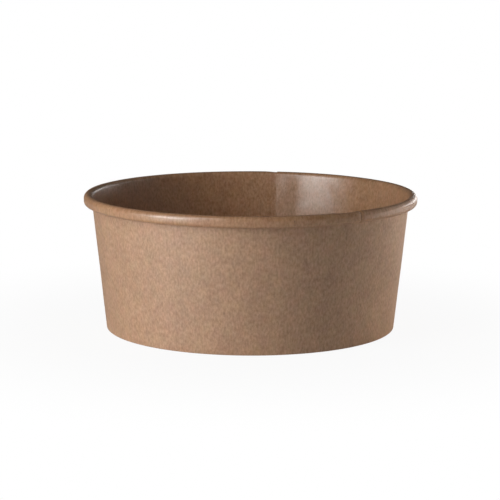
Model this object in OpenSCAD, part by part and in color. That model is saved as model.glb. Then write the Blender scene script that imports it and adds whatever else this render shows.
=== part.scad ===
// Round paper bowl: a wrapped board wall with a rolled rim, and a separate base disc held in the wall's foot.
// Millimetres, +Z up. The origin is the centre of the circle that the foot stands on.

/* [Rim] */
// Diameter over the outside of the rolled rim
rim_d = 150; // [130:1:185]
// Width of the roll, from the inside of the wall to the outside of the roll
rim_w = 3.9; // [3.4:0.1:4.8]
// Height of the roll
rim_h = 5; // [4.6:0.1:6.5]
// How far the cut edge of the board is tucked up inside the roll
tuck_l = 1.2; // [0.5:0.1:1.8]

/* [Wall] */
// Height from the table to the top of the rim
bowl_h = 61; // [45:1:110]
// Diameter over the outside of the foot
foot_d = 130.4; // [110:1:135]
// Thickness of the wall's board
board_t = 0.45; // [0.35:0.05:0.6]

/* [Side seam] */
// Width of the lap where the two ends of the wall are glued together
lap_w = 10; // [6:0.5:14]
// Length over which the outer end steps back in beside the lap
step_w = 3; // [2.5:0.25:4]
// Angle of the inner end's cut edge, from +X
lap_edge = 79.7; // [0:0.1:300]

/* [Base] */
// Height of the base disc's underside above the table
base_rise = 7; // [6:0.5:12]
// Thickness of the base disc's board
base_t = 0.35; // [0.25:0.05:0.5]
// Inner radius of the bend between the base disc and its skirt
bend_r = 0.8; // [0.5:0.1:1.2]
// How far the bend of the base disc stays above the wall's hem, which is folded up inside the skirt
hem_gap = 0.8; // [0.3:0.1:2]

/* [Hidden] */
$fn = 180;

// Gap between the wall and the end tucked up inside the roll
tuck_gap = 0.15;
// Steps in a half turn of the roll, and in a quarter turn of a fold
roll_steps = 24;
fold_steps = 8;
// Reach of the cutting shapes past what they cut
past = 1;

rim_r = rim_d / 2;
roll_r = rim_w / 2;

// Centre of the roll's upper half, and the inner corner that the foot is folded around
roll_top = [rim_r - roll_r, bowl_h - roll_r];
fold = [foot_d / 2 - board_t, board_t];

// The inside of the wall runs from the fold to the roll, and is tangent to the roll
to_roll = roll_top - fold;
lean = atan2(to_roll.x, to_roll.y) - asin(roll_r / norm(to_roll));
wall_l = sqrt(norm(to_roll) ^ 2 - roll_r ^ 2);
// Directions along the wall and out of it
up = [sin(lean), cos(lean)];
out = [cos(lean), -sin(lean)];

// The roll's lower half is narrower, so that the tucked end clears the wall
roll_room = rim_r - fold.x - (bowl_h - rim_h - fold.y) * tan(lean);
low_r = (roll_room * cos(lean) - board_t - tuck_gap) / (1 + cos(lean) + sin(lean));
roll_low = [rim_r - low_r, bowl_h - rim_h + low_r];

// The hem's inner corner lies one skirt further in than the wall's
hem_fold = fold - [base_t / cos(lean), 0];

// Centre of the bend between the base disc and its skirt
bend_z = base_rise - bend_r;
bend = [fold.x + (bend_z - fold.y) * tan(lean) - (base_t + bend_r) / cos(lean), bend_z];
hem_l = (bend_z - hem_gap - fold.y) / cos(lean);

// The lap starts where the wall is clear of the fold, and ends at the roll
lap_r = rim_r - rim_w;
lap_angle = lap_w / lap_r * 180 / PI;
step_angle = step_w / lap_r * 180 / PI;
step_sag = step_w ^ 2 / (2 * lap_r);
recess_start = (base_rise + base_t + bend_r - fold.y) / cos(lean);

// A point of the section: so far up the wall from the fold, and so deep outside its inside face
function on_wall(along, depth) = fold + along * up + depth * out;

// Points of an arc round a centre, from angle a1 to a2
function arc(centre, r, a1, a2, steps) =
    [for (i = [0:steps]) let (a = a1 + (a2 - a1) * i / steps) centre + r * [cos(a), sin(a)]];

// Points of a list in the opposite order
function reversed(list) = [for (i = [len(list) - 1:-1:0]) list[i]];

// One face of the wall's board, so deep outside its inside face: hem, foot, wall, roll and tucked end
function board_face(depth) = concat(
    [hem_fold + hem_l * up - depth * out],
    depth > 0 ? arc(hem_fold, depth, 180 - lean, 270, fold_steps) : [hem_fold],
    depth > 0 ? arc(fold, depth, 270, 360 - lean, fold_steps) : [fold],
    arc(roll_top, roll_r - depth, 180 - lean, 0, roll_steps),
    arc(roll_low, low_r - depth, 0, -180 - lean, roll_steps),
    [roll_low - (low_r - depth) * out + tuck_l * up]
);

module wall_section() {
    polygon(concat(board_face(0), reversed(board_face(board_t))));
}

// The outer end of the board, from halfway into the inner end under it
module lap_section() {
    polygon([
        on_wall(0, board_t / 2),
        on_wall(0, 2 * board_t),
        on_wall(wall_l, 2 * board_t),
        on_wall(wall_l, board_t / 2)
    ]);
}

// Extrudes a plan drawn across the wall at the lap's edge, x outwards and y round the bowl, up the wall
module beside_edge(from, to) {
    rotate([0, 0, lap_edge])
        translate([fold.x, 0, fold.y])
            rotate([0, lean, 0])
                translate([0, 0, from])
                    linear_extrude(to - from)
                        children();
}

// The outer end of the board, glued over the inner end and stepping back to the wall beside it
module seam_lap() {
    difference() {
        rotate([0, 0, lap_edge - lap_angle])
            rotate_extrude(angle = lap_angle + step_angle)
                lap_section();
        beside_edge(-past, wall_l + past)
            polygon([
                [2 * board_t, 0],
                [board_t - step_sag, step_w],
                [board_t - step_sag, step_w + past],
                [3 * past, step_w + past],
                [3 * past, 0]
            ]);
    }
}

// The hollow inside the bowl beside the inner end's cut edge, where the outer end steps back to the wall
module seam_recess() {
    beside_edge(recess_start, wall_l)
        polygon([[-past, 0], [board_t, 0], [-step_sag, step_w], [-past, step_w]]);
}

module side_wall() {
    color([0.71, 0.56, 0.43])
        difference() {
            union() {
                rotate_extrude() wall_section();
                seam_lap();
            }
            seam_recess();
        }
}

// Flat disc, bent down at its edge into a skirt that reaches the fold of the foot
module base_disc() {
    color([0.72, 0.57, 0.44])
        rotate_extrude()
            polygon(concat(
                [[0, base_rise]],
                arc(bend, bend_r, 90, -lean, fold_steps),
                [hem_fold, fold],
                arc(bend, bend_r + base_t, -lean, 90, fold_steps),
                [[0, base_rise + base_t]]
            ));
}

side_wall();
base_disc();
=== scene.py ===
# %% [markdown]
# # A round bowl of brown kraft board
# The real bowl is two pieces of board. A long curved strip is wrapped into a tapered wall and glued
# to itself at the back. Its top edge is rolled outwards into a stiff rim, and its bottom edge is
# folded up inside, around the skirt of a round base disc. The CAD model already has these pieces at
# their true sizes. It is loaded first, and everything made here has to agree with it.
# %% Load the fixed frame
import math

import bpy
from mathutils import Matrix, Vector


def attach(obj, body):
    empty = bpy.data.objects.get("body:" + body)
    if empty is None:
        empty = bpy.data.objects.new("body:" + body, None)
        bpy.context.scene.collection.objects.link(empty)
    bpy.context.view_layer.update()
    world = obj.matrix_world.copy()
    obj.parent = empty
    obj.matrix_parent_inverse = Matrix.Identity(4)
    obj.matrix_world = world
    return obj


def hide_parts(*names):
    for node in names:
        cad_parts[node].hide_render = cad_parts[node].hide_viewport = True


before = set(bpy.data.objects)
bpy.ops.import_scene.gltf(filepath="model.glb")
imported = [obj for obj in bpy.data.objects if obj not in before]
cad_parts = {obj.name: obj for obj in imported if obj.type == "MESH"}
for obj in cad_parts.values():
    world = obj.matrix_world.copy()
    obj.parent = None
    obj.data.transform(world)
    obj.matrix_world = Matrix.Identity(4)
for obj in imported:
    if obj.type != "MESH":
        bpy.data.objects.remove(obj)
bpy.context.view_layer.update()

# %% [markdown]
# ## The camera
# The ellipse of the rim tells the height of the camera: it looks down by about ten degrees, from
# well back, with a long lens. The lens axis passes a little above the bowl's middle, so the camera
# tips a little less than the line from it to the bowl.
# %% Camera
VIEW_DISTANCE = 0.9
VIEW_DOWN = math.radians(9.92)
VIEW_POINT = Vector((-0.00016, 0, 0.030))
AIM_UP = math.radians(0.278)
CAMERA_ROLL = 0.003
LENS_MM = 142.8

camera = bpy.data.objects.new("camera", bpy.data.cameras.new("camera"))
bpy.context.scene.collection.objects.link(camera)
camera.data.sensor_width = 36
camera.data.lens = LENS_MM
camera.location = VIEW_POINT + VIEW_DISTANCE * Vector((0, -math.cos(VIEW_DOWN), math.sin(VIEW_DOWN)))
camera.rotation_mode = "ZYX"
camera.rotation_euler = (math.radians(90) - VIEW_DOWN + AIM_UP, 0, CAMERA_ROLL)
bpy.context.scene.camera = camera
print("camera at", camera.location[:])

# %% [markdown]
# ## Sizes
# These are the part's own sizes, in metres, and its angles, in radians. The rim is 150 mm over its
# outside, because lids are made for that size. The board of the wall is under half a millimetre
# thick.
# %% Sizes
MM = 0.001
RIM_R = 75 * MM
RIM_W = 3.9 * MM
RIM_H = 5 * MM
TUCK_L = 1.2 * MM
TUCK_GAP = 0.15 * MM
BOWL_H = 61 * MM
FOOT_R = 65.2 * MM
BOARD_T = 0.45 * MM
BASE_RISE = 7 * MM
BASE_T = 0.35 * MM
BEND_R = 0.8 * MM
HEM_GAP = 0.8 * MM
LAP_EDGE = math.radians(79.7)
LAP_ANGLE = math.radians(8.06)
STEP_ANGLE = math.radians(5)
TURN = 2 * math.pi

# %% [markdown]
# ## The slope of the wall
# The inside of the wall runs straight from the fold at the foot to the roll at the rim, and touches
# the roll smoothly. Its slope follows from those two places, so it is worked out here and not typed.
# A point on the section is written as a pair: its distance from the bowl's axis and its height.
# %% Slope of the wall
def pair(x, z):
    """A place or a direction on the section."""
    return Vector((x, z))


def arc(centre, radius, first, last, steps):
    """Points of an arc in the section, from one angle to another in degrees, and the way out of it."""
    found = []
    for i in range(steps + 1):
        angle = math.radians(first + (last - first) * i / steps)
        outward = pair(math.cos(angle), math.sin(angle))
        found.append((centre + radius * outward, outward))
    return found


roll_r = RIM_W / 2
roll_top = pair(RIM_R - roll_r, BOWL_H - roll_r)
fold = pair(FOOT_R - BOARD_T, BOARD_T)
to_roll = roll_top - fold
lean = math.atan2(to_roll.x, to_roll.y) - math.asin(roll_r / to_roll.length)
lean_deg = math.degrees(lean)
wall_l = math.sqrt(to_roll.length_squared - roll_r**2)
up = pair(math.sin(lean), math.cos(lean))
out = pair(math.cos(lean), -math.sin(lean))
hem_fold = fold - pair(BASE_T / math.cos(lean), 0)
hem_l = (BASE_RISE - BEND_R - HEM_GAP - fold.y) / math.cos(lean)
roll_room = RIM_R - fold.x - (BOWL_H - RIM_H - fold.y) * math.tan(lean)
low_r = (roll_room * math.cos(lean) - BOARD_T - TUCK_GAP) / (1 + math.cos(lean) + math.sin(lean))
roll_low = pair(RIM_R - low_r, BOWL_H - RIM_H + low_r)
print(f"the wall leans out {lean_deg:.2f} degrees over {wall_l / MM:.1f} mm")

# %% [markdown]
# ## The line that the wall is made from
# A wall of even thickness is easiest to make as one thin surface that gets its thickness later. The
# surface here is the bare side of the board. Its line starts at the top of the hem inside the foot,
# goes down, around the foot, up the wall and around the roll, and ends in the edge tucked under the
# rim. Each point also keeps which way is out of the board's bare side.
# %% Points of the wall's line
HEM_ROWS = 4
FOLD_ROWS = 6
WALL_ROWS = 30
ROLL_ROWS = 22

line = []
for i in range(HEM_ROWS):
    along = hem_l * (1 - i / HEM_ROWS)
    line.append((hem_fold + along * up - BOARD_T * out, -out))
line += arc(hem_fold, BOARD_T, 180 - lean_deg, 270, FOLD_ROWS)
line += arc(fold, BOARD_T, 270, 360 - lean_deg, FOLD_ROWS)
FOOT_ROW = len(line) - 1
for i in range(1, WALL_ROWS):
    line.append((fold + wall_l * i / WALL_ROWS * up + BOARD_T * out, out))
ROLL_ROW = len(line)
over_roll = arc(roll_top, roll_r - BOARD_T, 180 - lean_deg, 0, ROLL_ROWS)
under_roll = arc(roll_low, low_r - BOARD_T, 0, -180 - lean_deg, ROLL_ROWS)
line += [(place, -outward) for place, outward in over_roll + under_roll[1:]]
line.append((line[-1][0] + TUCK_L * up, out))
ROWS = len(line)

distances = [0.0]
for before, after in zip(line, line[1:]):
    distances.append(distances[-1] + (after[0] - before[0]).length)
print(f"the wall's line has {ROWS} points and is {distances[-1] / MM:.1f} mm long")

# %% [markdown]
# ## Drawing the line
# A plane is added and merged to one point, and the point is extruded along the line, as with
# repeated clicks by hand. The line stands where the seam is, at the back of the bowl.
# %% Draw the wall's line
def deselect():
    """Leaves the mode and the selection clean, because an operator acts on all that is selected."""
    if bpy.context.object and bpy.context.object.mode != "OBJECT":
        bpy.ops.object.mode_set(mode="OBJECT")
    bpy.ops.object.select_all(action="DESELECT")


def at_angle(place, angle):
    """A point of the section, turned around the bowl's axis."""
    return Vector((place.x * math.cos(angle), place.x * math.sin(angle), place.y))


deselect()
bpy.ops.mesh.primitive_plane_add(size=0.01, location=(0, 0, 0))
wall = bpy.context.object
wall.name = "bowl_wall"
bpy.ops.object.mode_set(mode="EDIT")
bpy.ops.mesh.merge(type="CENTER")
pen = Vector((0, 0, 0))
for row, (place, outward) in enumerate(line):
    target = at_angle(place, LAP_EDGE)
    if row == 0:
        bpy.ops.transform.translate(value=target - pen)
    else:
        bpy.ops.mesh.extrude_region_move(TRANSFORM_OT_translate={"value": target - pen})
    pen = target
bpy.ops.object.mode_set(mode="OBJECT")
print("the drawn line has", len(wall.data.vertices), "points")

# %% [markdown]
# ## Wrapping the board around
# The strip is more than a full turn long, because its two ends lap over each other. Spin turns the
# line around the axis. It is used six times in a row: with narrow steps where the seam and a crease
# need fine shapes, and with wide ones in between. Seen from above, it goes round with the clock.
# %% Spin the line into a strip
CREASE = math.radians(130.9)
CREASE_W = math.radians(0.8)
CREASE_END = math.radians(141)
SECTIONS = [
    ("lap of the inner end", LAP_ANGLE, 12),
    ("up to the crease in the rim", CREASE - CREASE_W / 2 - LAP_ANGLE, 116),
    ("crease in the rim", CREASE_W, 6),
    ("on to the seam", TURN - CREASE - CREASE_W / 2 - STEP_ANGLE, 214),
    ("step over the inner end", STEP_ANGLE, 12),
    ("lap of the outer end", LAP_ANGLE, 12),
]

turned = [0.0]
bpy.ops.object.mode_set(mode="EDIT")
bpy.ops.mesh.select_all(action="SELECT")
for name, angle, steps in SECTIONS:
    bpy.ops.mesh.spin(steps=steps, angle=angle, center=(0, 0, 0), axis=(0, 0, 1))
    turned += [turned[-1] + angle * (i + 1) / steps for i in range(steps)]
bpy.ops.mesh.select_all(action="SELECT")
bpy.ops.mesh.normals_make_consistent(inside=False)
bpy.ops.object.mode_set(mode="OBJECT")
CHECKED_COLUMN = 100
on_wall = wall.data.vertices[ROWS * CHECKED_COLUMN + (FOOT_ROW + ROLL_ROW) // 2]
if on_wall.normal.dot(at_angle(pair(1, 0), LAP_EDGE - turned[CHECKED_COLUMN])) < 0:
    wall.data.flip_normals()
print(f"the strip has {len(wall.data.vertices)} points in {len(turned)} columns of {ROWS}")

# %% [markdown]
# ## The glued lap
# At the seam the outer end climbs over the inner end, and the two lie on each other for a
# centimetre, pressed into each other a little by the heat that glues them. Vertex weights say how
# far each point steps out, and a Displace modifier moves it that far along its normal. The step is
# lower at the neck, where the wall turns into the roll, and lowest at the fold of the foot, where
# the press squeezes the board flat.
# %% Step the outer end over the inner end
STEP_START = TURN - STEP_ANGLE
LAP_STEP = 0.36 * MM
NECK_STEP = 0.12 * MM
NECK_ROWS = 3
ROLL_STEP = 0.3 * MM
SQUEEZED = 0.02 * MM


def smooth(value):
    """Goes from 0 to 1 with a soft start and end."""
    value = min(max(value, 0), 1)
    return value * value * (3 - 2 * value)


def step_out(row):
    """How far the outer end lies from the inner end's place, at one row of the board."""
    if row < HEM_ROWS:
        return BOARD_T
    if row <= FOOT_ROW:
        from_lowest = abs(row - HEM_ROWS - FOLD_ROWS - 0.5) / FOLD_ROWS
        return SQUEEZED + (BOARD_T / 2 - SQUEEZED) * from_lowest
    if row < ROLL_ROW - NECK_ROWS:
        return LAP_STEP
    if row < ROLL_ROW:
        return NECK_STEP
    return ROLL_STEP


def displace_by(piece, name, weights, distance, texture=None):
    """Moves points along their normals by weight times distance, or by a texture's share of it."""
    group = piece.vertex_groups.new(name=name)
    for index, weight in enumerate(weights):
        if weight > 0:
            group.add([index], weight, "REPLACE")
    modifier = piece.modifiers.new(name, "DISPLACE")
    modifier.vertex_group = name
    modifier.strength = distance
    modifier.mid_level = 0
    if texture:
        modifier.texture = texture
        modifier.mid_level = 0.5
    deselect()
    bpy.context.view_layer.objects.active = piece
    piece.select_set(True)
    bpy.ops.object.modifier_apply(modifier=name)
    piece.vertex_groups.remove(piece.vertex_groups[name])


rows = [index % ROWS for index in range(len(wall.data.vertices))]
angles = [turned[index // ROWS] for index in range(len(wall.data.vertices))]
lapped = [
    step_out(row) / BOARD_T * smooth((angle - STEP_START) / STEP_ANGLE)
    for row, angle in zip(rows, angles)
]
displace_by(wall, "lap", lapped, BOARD_T)
print("the lap is", round(LAP_ANGLE * RIM_R / MM, 1), "mm wide at the rim")

# %% [markdown]
# ## Board that isn't quite true
# Board is never perfectly even. The wall bows in and out by about a tenth of a millimetre, and the
# stiffer roll by about half of that. The double board of the lap stays flat, and so does a stretch
# of the roll beside its crease. Such a flat place is found by moving the arc onto its own chord. On
# the wall the normals point outwards, and on the roll they point into it, so the two need opposite
# signs.
# %% Bow the wall, and flatten the lap and the roll
BOW = 0.22 * MM
BOW_SPACING = 28 * MM
ROLL_BOW = 0.45

wall_rows = range(FOOT_ROW + 1, ROLL_ROW)
roll_rows = range(ROLL_ROW, ROWS)
clouds = bpy.data.textures.new("bow", "CLOUDS")
clouds.noise_scale = BOW_SPACING
clouds.noise_depth = 1
bowed = [1.0 if row in wall_rows else ROLL_BOW if row in roll_rows else 0 for row in rows]
displace_by(wall, "bow", bowed, BOW, clouds)


def to_chord(angle, first, last):
    """How far a point at an angle lies outside the chord between two angles of the wall."""
    if not first < angle < last:
        return 0
    return RIM_R * (1 - math.cos((last - first) / 2) / math.cos(angle - (first + last) / 2))


def flatten(name, first, last, flat_rows, distance):
    """Moves the arc between two angles onto its chord, on some rows of the board."""
    depths = [
        to_chord(angle, first, last) / MM if row in flat_rows else 0
        for row, angle in zip(rows, angles)
    ]
    displace_by(wall, name, depths, distance)
    print(name, "moves in by up to", round(max(depths), 2), "mm")


flatten("flat inner end", 0, LAP_ANGLE, wall_rows, -MM)
flatten("flat outer end", TURN, TURN + LAP_ANGLE, wall_rows, -MM)
flatten("flat roll", CREASE, CREASE_END, roll_rows, MM)

# %% [markdown]
# ## A crease and a row of crimps
# The roll has a fine crease at the front, where the board gave way as it was rolled. Inside the
# foot, the hem is pressed against the skirt by a knurled wheel, which leaves narrow crimps. Each
# crimp is one column of points, so weights of 1 and 0 are enough.
# %% Crease the roll and crimp the hem
CREASE_DEPTH = 0.45 * MM
CRIMP_DEPTH = 0.16 * MM
CRIMP_STEP = 3

creased = [
    1 - min(abs(angle - CREASE) / (CREASE_W / 2), 1) if row in roll_rows else 0
    for row, angle in zip(rows, angles)
]
displace_by(wall, "crease", creased, CREASE_DEPTH)


def crimp(column, row):
    """1 for a point of the hem in every third column away from the lap, and 0 for any other."""
    on_hem = 0 < row <= HEM_ROWS
    off_lap = LAP_ANGLE < turned[column] < STEP_START
    return 1.0 if on_hem and off_lap and column % CRIMP_STEP == 0 else 0


crimped = [crimp(*divmod(index, ROWS)) for index in range(len(rows))]
displace_by(wall, "crimp", crimped, -CRIMP_DEPTH)
print("crimps:", round(sum(crimped)) // HEM_ROWS)

# %% [markdown]
# ## A map of the board
# The fibres of the board run from the foot to the rim, so its pattern has to follow the strip. The
# strip was made in rows and columns, which gives its map directly: one direction is the distance
# around, and the other the distance along the line. Both are in metres.
# %% Map the strip
MAP_R = 0.07
strip_map = wall.data.uv_layers.new(name="board_map")
for loop in wall.data.loops:
    column, row = divmod(loop.vertex_index, ROWS)
    strip_map.data[loop.index].uv = (turned[column] * MAP_R, distances[row])
print("the flat board is", round(turned[-1] * MAP_R / MM), "by", round(distances[-1] / MM), "mm")

# %% [markdown]
# ## Thickness
# Solidify gives the surface the thickness of the board, towards the food side. It also closes the
# cut edges. The three sides of the board get their own material slots: bare side, coated side, edge.
# %% Give the wall its thickness
SMOOTH_UNDER = math.radians(50)


def thicken(piece, thickness):
    """Gives a surface an even thickness. Its new side is in slot 1 and its edges are in slot 2."""
    modifier = piece.modifiers.new("thickness", "SOLIDIFY")
    modifier.thickness = thickness
    modifier.offset = -1
    modifier.use_even_offset = True
    modifier.material_offset = 1
    modifier.material_offset_rim = 2
    deselect()
    bpy.context.view_layer.objects.active = piece
    piece.select_set(True)
    bpy.ops.object.modifier_apply(modifier="thickness")
    bpy.ops.object.shade_smooth_by_angle(angle=SMOOTH_UNDER)


for slot_number in range(3):
    wall.data.materials.append(None)
thicken(wall, BOARD_T)
print("wall:", len(wall.data.polygons), "faces")

# %% [markdown]
# ## The base disc
# The base is a round of board, bent down at its edge into a skirt. It starts as a filled circle at
# the size of the flat part. Insets give the flat part rings of faces, and the edge is extruded around
# the bend and down to the foot. Pressing leaves the middle a little higher than the edge.
# %% Model the base disc
CROWN = 0.35 * MM
CROWN_SHARES = (0.35, 0.25, 0.2, 0.2)
RING_SHARE = 0.22
BASE_SIDES = 256
BEND_ROWS = 8

bend_z = BASE_RISE - BEND_R
wall_r = fold.x + (bend_z - fold.y) * math.tan(lean)
bend = pair(wall_r - (BASE_T + BEND_R) / math.cos(lean), bend_z)
bend_line = [place for place, outward in arc(bend, BEND_R + BASE_T, 90, -lean_deg, BEND_ROWS)]
bend_line.append(fold)

deselect()
base_top = (0, 0, BASE_RISE + BASE_T)
bpy.ops.mesh.primitive_circle_add(
    vertices=BASE_SIDES, radius=bend.x, fill_type="NGON", location=base_top
)
base = bpy.context.object
base.name = "bowl_base"
bpy.ops.object.transform_apply(location=True, rotation=True, scale=True)
bpy.ops.object.mode_set(mode="EDIT")
bpy.ops.mesh.select_all(action="SELECT")
for share in CROWN_SHARES:
    bpy.ops.mesh.inset(thickness=bend.x * RING_SHARE, depth=0)
    bpy.ops.transform.translate(value=(0, 0, CROWN * share))
bpy.ops.mesh.poke()
bpy.ops.mesh.select_all(action="SELECT")
bpy.ops.mesh.region_to_loop()
for before, after in zip(bend_line, bend_line[1:]):
    bpy.ops.mesh.extrude_edges_move(TRANSFORM_OT_translate={"value": (0, 0, after.y - before.y)})
    wider = after.x / before.x
    bpy.ops.transform.resize(value=(wider, wider, 1), center_override=(0, 0, 0))
bpy.ops.mesh.select_all(action="SELECT")
bpy.ops.mesh.remove_doubles(threshold=0.01 * MM)
bpy.ops.mesh.normals_make_consistent(inside=False)
bpy.ops.object.mode_set(mode="OBJECT")
if base.data.polygons[0].normal.z < 0:
    base.data.flip_normals()

# %% [markdown]
# ## The base's map and thickness
# The base was cut from a flat sheet, so its map is simply its plan, in metres. Its board is thinner
# than the wall's. Its faces look up, to the food side, so the thickness goes downwards.
# %% Map the base and give it its thickness
flat_map = base.data.uv_layers.new(name="board_map")
for loop in base.data.loops:
    place = base.data.vertices[loop.vertex_index].co
    flat_map.data[loop.index].uv = (place.x, place.y)
for slot_number in range(3):
    base.data.materials.append(None)
thicken(base, BASE_T)
print("base:", len(base.data.polygons), "faces")

# %% [markdown]
# ## Kraft board
# Unbleached board is made of brown wood fibres. Seen close, it has a fine grain with faint streaks,
# a cloudy light and dark where the pulp lay thicker, blotches that lean to pink or to olive, and a
# few dark flecks of bark. All sides of both pieces share this look, so it is one node group that
# each material uses with its own values. Three small helpers keep its nodes short to write.
# %% Helpers for nodes
def add_node(tree, kind, **values):
    """Adds a node. A name that is one of its inputs sets that input, and any other a property."""
    node = tree.nodes.new(kind)
    for name, value in values.items():
        if name in node.inputs:
            node.inputs[name].default_value = value
        else:
            setattr(node, name, value)
    return node


def noise_in(tree, vector, stretch, detail, roughness=0.6):
    """The outputs of noise over a vector that is scaled first, so that its blots can be long."""
    scaled = add_node(tree, "ShaderNodeVectorMath", operation="MULTIPLY")
    scaled.inputs[1].default_value = stretch
    tree.links.new(vector, scaled.inputs[0])
    texture = add_node(tree, "ShaderNodeTexNoise", Scale=1.0, Detail=detail, Roughness=roughness)
    tree.links.new(scaled.outputs[0], texture.inputs["Vector"])
    return texture.outputs


def maths(tree, operation, first, second=None, third=None, clamp=False):
    """A Math node. Numbers are set on its sockets, and anything else is linked."""
    node = add_node(tree, "ShaderNodeMath", operation=operation, use_clamp=clamp)
    for socket, value in zip(node.inputs, (first, second, third)):
        if isinstance(value, (int, float)):
            socket.default_value = value
        elif value is not None:
            tree.links.new(value, socket)
    return node.outputs[0]


# %% [markdown]
# ## Grain, streaks and clouds
# The group reads the board's own map, in millimetres. Each pattern is noise, and its numbers say how
# many blots lie in a millimetre around the bowl and along the fibres. Streaks and clouds make the
# board's colour lighter or darker. The grain adds and takes away a greyer brown than the board's, as
# light fibres and dark gaps do. Grain and streaks are also the height of the board's fine bumps.
# %% Start the kraft group
GRAIN_COLOR = (0.5, 0.39, 0.3)

kraft = bpy.data.node_groups.new("kraft board", "ShaderNodeTree")
for name, kind, value in (
    ("Vector", "NodeSocketVector", (0, 0, 0)),
    ("Color", "NodeSocketColor", (0.5, 0.3, 0.2, 1)),
    ("Grain", "NodeSocketFloat", 0.5),
    ("Streaks", "NodeSocketFloat", 0.2),
    ("Clouds", "NodeSocketFloat", 0.2),
    ("Tints", "NodeSocketFloat", 0.2),
    ("Flecks", "NodeSocketFloat", 0.5),
):
    kraft.interface.new_socket(name, in_out="INPUT", socket_type=kind).default_value = value
for name, kind in (
    ("Color", "NodeSocketColor"),
    ("Height", "NodeSocketFloat"),
    ("Gloss", "NodeSocketFloat"),
):
    kraft.interface.new_socket(name, in_out="OUTPUT", socket_type=kind)
given = kraft.nodes.new("NodeGroupInput")
result = kraft.nodes.new("NodeGroupOutput")
in_mm = add_node(kraft, "ShaderNodeVectorMath", operation="SCALE", Scale=1 / MM)
kraft.links.new(given.outputs["Vector"], in_mm.inputs[0])
place = in_mm.outputs[0]

grain = noise_in(kraft, place, (1.1, 0.58, 1), 3, 0.6)["Fac"]
streaks = noise_in(kraft, place, (1.5, 0.2, 1), 3)["Fac"]
clouds_fine = noise_in(kraft, place, (0.33, 0.22, 1), 3)["Fac"]
clouds_wide = noise_in(kraft, place, (0.09, 0.07, 1), 2)["Fac"]
brightness = 1.0
for pattern, amount in ((streaks, "Streaks"), (clouds_fine, "Clouds"), (clouds_wide, "Clouds")):
    change = maths(kraft, "MULTIPLY", maths(kraft, "SUBTRACT", pattern, 0.5), given.outputs[amount])
    brightness = maths(kraft, "ADD", change, brightness)
shaded = add_node(kraft, "ShaderNodeVectorMath", operation="SCALE")
kraft.links.new(given.outputs["Color"], shaded.inputs[0])
kraft.links.new(brightness, shaded.inputs["Scale"])

grain_change = maths(kraft, "MULTIPLY", maths(kraft, "SUBTRACT", grain, 0.5), given.outputs["Grain"])
grained = add_node(kraft, "ShaderNodeVectorMath", operation="MULTIPLY_ADD")
grained.inputs[1].default_value = GRAIN_COLOR
kraft.links.new(grain_change, grained.inputs[0])
kraft.links.new(shaded.outputs[0], grained.inputs[2])

# %% [markdown]
# ## Blotches and flecks
# The blotches are coloured noise, weakened and laid over the board's colour. For the flecks, Voronoi
# makes cells that are long along the fibres, and gives each of them a number at random. One cell in
# 32 is picked by its number, and holds a dark fleck with a radius of up to a quarter of a cell.
# %% Finish the kraft group
CELLS_PER_FLECK = 32
FLECK_R = 0.25
FLECK_SHARPNESS = 8
FLECK_COLOR = (0.10, 0.045, 0.02, 1)

blotches = noise_in(kraft, place, (0.2, 0.16, 1), 1, 0.5)["Color"]
around_zero = add_node(kraft, "ShaderNodeVectorMath", operation="SUBTRACT")
around_zero.inputs[1].default_value = (0.5, 0.5, 0.5)
kraft.links.new(blotches, around_zero.inputs[0])
weakened = add_node(kraft, "ShaderNodeVectorMath", operation="SCALE")
kraft.links.new(around_zero.outputs[0], weakened.inputs[0])
kraft.links.new(given.outputs["Tints"], weakened.inputs["Scale"])
tinted = add_node(kraft, "ShaderNodeVectorMath", operation="MULTIPLY_ADD")
kraft.links.new(weakened.outputs[0], tinted.inputs[0])
kraft.links.new(grained.outputs[0], tinted.inputs[1])
kraft.links.new(grained.outputs[0], tinted.inputs[2])

fleck_place = add_node(kraft, "ShaderNodeVectorMath", operation="MULTIPLY")
fleck_place.inputs[1].default_value = (0.9, 0.25, 1)
kraft.links.new(place, fleck_place.inputs[0])
cells = add_node(kraft, "ShaderNodeTexVoronoi", Scale=1.0, Randomness=1.0)
kraft.links.new(fleck_place.outputs[0], cells.inputs["Vector"])
split = add_node(kraft, "ShaderNodeSeparateColor")
kraft.links.new(cells.outputs["Color"], split.inputs[0])
growth = FLECK_R * CELLS_PER_FLECK
fleck_r = maths(kraft, "MULTIPLY_ADD", split.outputs[0], growth, FLECK_R - growth)
inside = maths(kraft, "SUBTRACT", fleck_r, cells.outputs["Distance"])
fleck = maths(kraft, "MULTIPLY", inside, FLECK_SHARPNESS, clamp=True)
flecks = maths(kraft, "MULTIPLY", fleck, given.outputs["Flecks"])
flecked = add_node(kraft, "ShaderNodeMix", data_type="RGBA")
flecked.inputs[7].default_value = FLECK_COLOR
kraft.links.new(flecks, flecked.inputs[0])
kraft.links.new(tinted.outputs[0], flecked.inputs[6])
kraft.links.new(flecked.outputs[2], result.inputs["Color"])
kraft.links.new(maths(kraft, "ADD", grain, streaks), result.inputs["Height"])
kraft.links.new(clouds_fine, result.inputs["Gloss"])
print("kraft board group:", len(kraft.nodes), "nodes")

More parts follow.
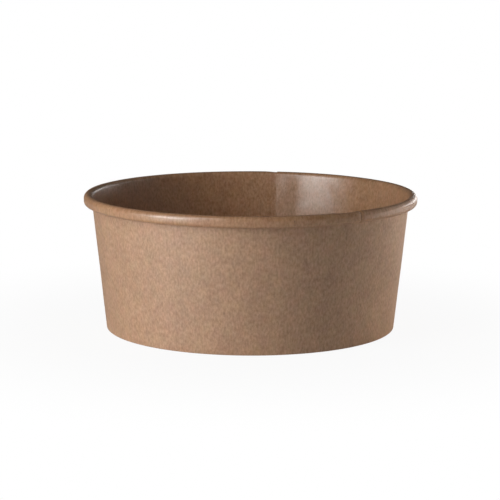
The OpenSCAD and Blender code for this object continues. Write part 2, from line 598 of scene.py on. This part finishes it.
# %% [markdown]
# ## Bare side, coated side and cut edge
# The outside of the wall is bare and matt. The food side has a thin clear film that deepens the
# colour and gives it a satin sheen, and the roll shows that side too. The film lies on the grain and
# takes its bumps, so a clear coat over a smooth base would look wrong. A higher index and a lower
# roughness make the sheen instead, and wide low waves in it give highlights their wavy edges. The cut
# edge is rough, and its colour is darker than the board's. Part of that is the edge's own cut fibres,
# and part is painted shade, which makes the cut edge at the seam a dark line, as the shadow in the
# gap there would.
# %% Materials
def board_material(name, color, amounts, roughness, gloss_change, bump, ior=1.5, waves=0.0):
    """A material of kraft board. bump is the height of its grain, and waves that of its film."""
    made = bpy.data.materials.new(name)
    made.use_nodes = True
    tree = made.node_tree
    shader = tree.nodes["Principled BSDF"]
    on_map = add_node(tree, "ShaderNodeUVMap", uv_map="board_map")
    look = add_node(tree, "ShaderNodeGroup", node_tree=kraft)
    look.inputs["Color"].default_value = (*color, 1)
    for effect, amount in amounts.items():
        look.inputs[effect].default_value = amount
    tree.links.new(on_map.outputs[0], look.inputs["Vector"])
    tree.links.new(look.outputs["Color"], shader.inputs["Base Color"])
    lowest = roughness - gloss_change / 2
    rough = maths(tree, "MULTIPLY_ADD", look.outputs["Gloss"], gloss_change, lowest)
    tree.links.new(rough, shader.inputs["Roughness"])
    shader.inputs["IOR"].default_value = ior
    fine = add_node(tree, "ShaderNodeBump", Strength=1.0, Distance=bump)
    tree.links.new(look.outputs["Height"], fine.inputs["Height"])
    normal = fine.outputs[0]
    if waves:
        wavy = noise_in(tree, on_map.outputs[0], (60, 45, 1), 2, 0.5)["Fac"]
        wide = add_node(tree, "ShaderNodeBump", Strength=1.0, Distance=waves)
        tree.links.new(wavy, wide.inputs["Height"])
        tree.links.new(normal, wide.inputs["Normal"])
        normal = wide.outputs[0]
    tree.links.new(normal, shader.inputs["Normal"])
    return made


KRAFT = (0.49, 0.29, 0.172)
COATED = (0.47, 0.255, 0.135)
# The cut edge's colour is darker than the board's: partly its own cut fibres, partly painted shade for
# the gap at the seam.
EDGE_AND_PAINTED_SHADE = (0.24, 0.145, 0.09)
bare_amounts = {"Grain": 1.0, "Streaks": 0.32, "Clouds": 0.38, "Tints": 0.12, "Flecks": 0.8}
coated_amounts = {"Grain": 1.05, "Streaks": 0.32, "Clouds": 0.36, "Tints": 0.12, "Flecks": 0.8}
edge_amounts = {"Grain": 0.5, "Streaks": 0.5, "Clouds": 0.3, "Tints": 0.2, "Flecks": 0.0}
GRAIN_H = 0.02 * MM
EDGE_GRAIN_H = 0.03 * MM
FILM_WAVES = 0.5 * MM
bare_board = board_material("bare_kraft", KRAFT, bare_amounts, 0.57, 0.1, GRAIN_H, ior=1.8)
coated_board = board_material(
    "coated_kraft", COATED, coated_amounts, 0.35, 0.14, GRAIN_H, ior=1.85, waves=FILM_WAVES
)
edge_board_with_painted_shade = board_material("cut_edge_painted_shade", EDGE_AND_PAINTED_SHADE, edge_amounts, 0.9, 0.0, EDGE_GRAIN_H)
print("materials:", bare_board.name, coated_board.name, edge_board_with_painted_shade.name)

for slot_number, material in enumerate((bare_board, coated_board, edge_board_with_painted_shade)):
    wall.data.materials[slot_number] = material
for slot_number, material in enumerate((coated_board, bare_board, edge_board_with_painted_shade)):
    base.data.materials[slot_number] = material

# %% [markdown]
# ## Joining the CAD model
# Each piece rides on the bowl's only body, so that it moves with it. The CAD nodes that they stand
# for are hidden, and stay in the simulation.
# %% Replace the CAD nodes
for piece, node, slot in ((wall, "side_wall", "wall_board"), (base, "base_disc", "base_board")):
    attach(piece, "root")
    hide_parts(node)

# %% [markdown]
# ## Floor and world
# The photograph has a white sweep. The floor lies a tenth of a millimetre under the foot, so that no
# two faces are in the same place. What only the camera sees may be made white outright, because
# that adds no light to the bowl. Near the bowl a little of the lit floor is let through, which keeps
# a faint shadow where the bowl stands, and further out the floor is all white.
# %% Floor and world
FLOOR_SIZE = 6
FLOOR_DROP = 0.1 * MM
FLOOR_TONE = 0.85
NEAR_FLOOR = 0.06
FAR_FLOOR = 0.2
NEAR_WHITE = 0.93
WORLD_FILL = 0.05


def mix_for_camera(tree, lit, seen, output, share):
    """Shows the camera a share of a plain bright shader over a lit one. All else meets the lit one."""
    path = add_node(tree, "ShaderNodeLightPath")
    mix = add_node(tree, "ShaderNodeMixShader")
    tree.links.new(maths(tree, "MULTIPLY", path.outputs["Is Camera Ray"], share), mix.inputs[0])
    tree.links.new(lit, mix.inputs[1])
    tree.links.new(seen, mix.inputs[2])
    tree.links.new(mix.outputs[0], output.inputs["Surface"])


deselect()
bpy.ops.mesh.primitive_plane_add(size=FLOOR_SIZE, location=(0, 0, -FLOOR_DROP))
floor = bpy.context.object
floor.name = "floor"
floor_white = bpy.data.materials.new("floor_white")
floor_white.use_nodes = True
tree = floor_white.node_tree
paint = tree.nodes["Principled BSDF"]
paint.inputs["Base Color"].default_value = (FLOOR_TONE, FLOOR_TONE, FLOOR_TONE, 1)
paint.inputs["Roughness"].default_value = 0.9
glow = add_node(tree, "ShaderNodeEmission", Color=(1, 1, 1, 1), Strength=1.0)
on_floor = add_node(tree, "ShaderNodeTexCoord")
distance = add_node(tree, "ShaderNodeVectorMath", operation="LENGTH")
tree.links.new(on_floor.outputs["Object"], distance.inputs[0])
whiter = add_node(tree, "ShaderNodeMapRange", interpolation_type="SMOOTHSTEP")
whiter.inputs["From Min"].default_value = NEAR_FLOOR
whiter.inputs["From Max"].default_value = FAR_FLOOR
whiter.inputs["To Min"].default_value = NEAR_WHITE
whiter.inputs["To Max"].default_value = 1.0
tree.links.new(distance.outputs["Value"], whiter.inputs["Value"])
shown = tree.nodes["Material Output"]
mix_for_camera(tree, paint.outputs[0], glow.outputs[0], shown, whiter.outputs[0])
floor.data.materials.append(floor_white)

world = bpy.data.worlds.new("studio")
bpy.context.scene.world = world
world.use_nodes = True
tree = world.node_tree
fill = tree.nodes["Background"]
fill.inputs["Color"].default_value = (1, 1, 1, 1)
fill.inputs["Strength"].default_value = WORLD_FILL
white = add_node(tree, "ShaderNodeBackground", Color=(1, 1, 1, 1), Strength=1.0)
mix_for_camera(tree, fill.outputs[0], white.outputs[0], tree.nodes["World Output"], 1.0)
print("floor", FLOOR_SIZE, "m wide,", round(FLOOR_DROP / MM, 2), "mm under the foot")

# %% [markdown]
# ## Lights
# The light in the photograph is large and soft, in front on the left. Two softboxes make it, one low
# and one high. A wide weak panel on the right and a low window behind on the right fill in that side
# and the inside. The low card only lightens the wall on the right. It is left out of reflections,
# where its image would be a bright stripe.
# %% Softboxes
LIT_POINT = Vector((0, 0, 30 * MM))


def softbox(name, azimuth, elevation, distance, width, height, power):
    """An upright area light aimed at the bowl. Azimuth 0 is the camera's side, and 90 the right."""
    around = math.radians(azimuth)
    above = math.radians(elevation)
    level = math.cos(above)
    back = Vector((math.sin(around) * level, -math.cos(around) * level, math.sin(above)))
    bpy.ops.object.light_add(type="AREA", location=LIT_POINT + back * distance)
    light = bpy.context.object
    light.name = name
    light.rotation_euler = back.to_track_quat("Z", "Y").to_euler()
    light.data.shape = "RECTANGLE"
    light.data.size = width
    light.data.size_y = height
    light.data.energy = power
    return light


softbox("key_low", azimuth=-54, elevation=10, distance=0.75, width=0.34, height=0.32, power=2.95)
softbox("key_high", azimuth=-47, elevation=36, distance=0.9, width=0.5, height=0.4, power=1.8)
softbox("right_panel", azimuth=116, elevation=15, distance=0.7, width=0.9, height=0.6, power=0.6)
softbox("back_window", azimuth=148, elevation=5, distance=0.6, width=0.4, height=0.1, power=0.5)
card = softbox("low_card", azimuth=105, elevation=0, distance=0.4, width=0.3, height=0.05, power=0.7)
card.visible_glossy = False

bpy.context.scene.view_settings.view_transform = "Standard"
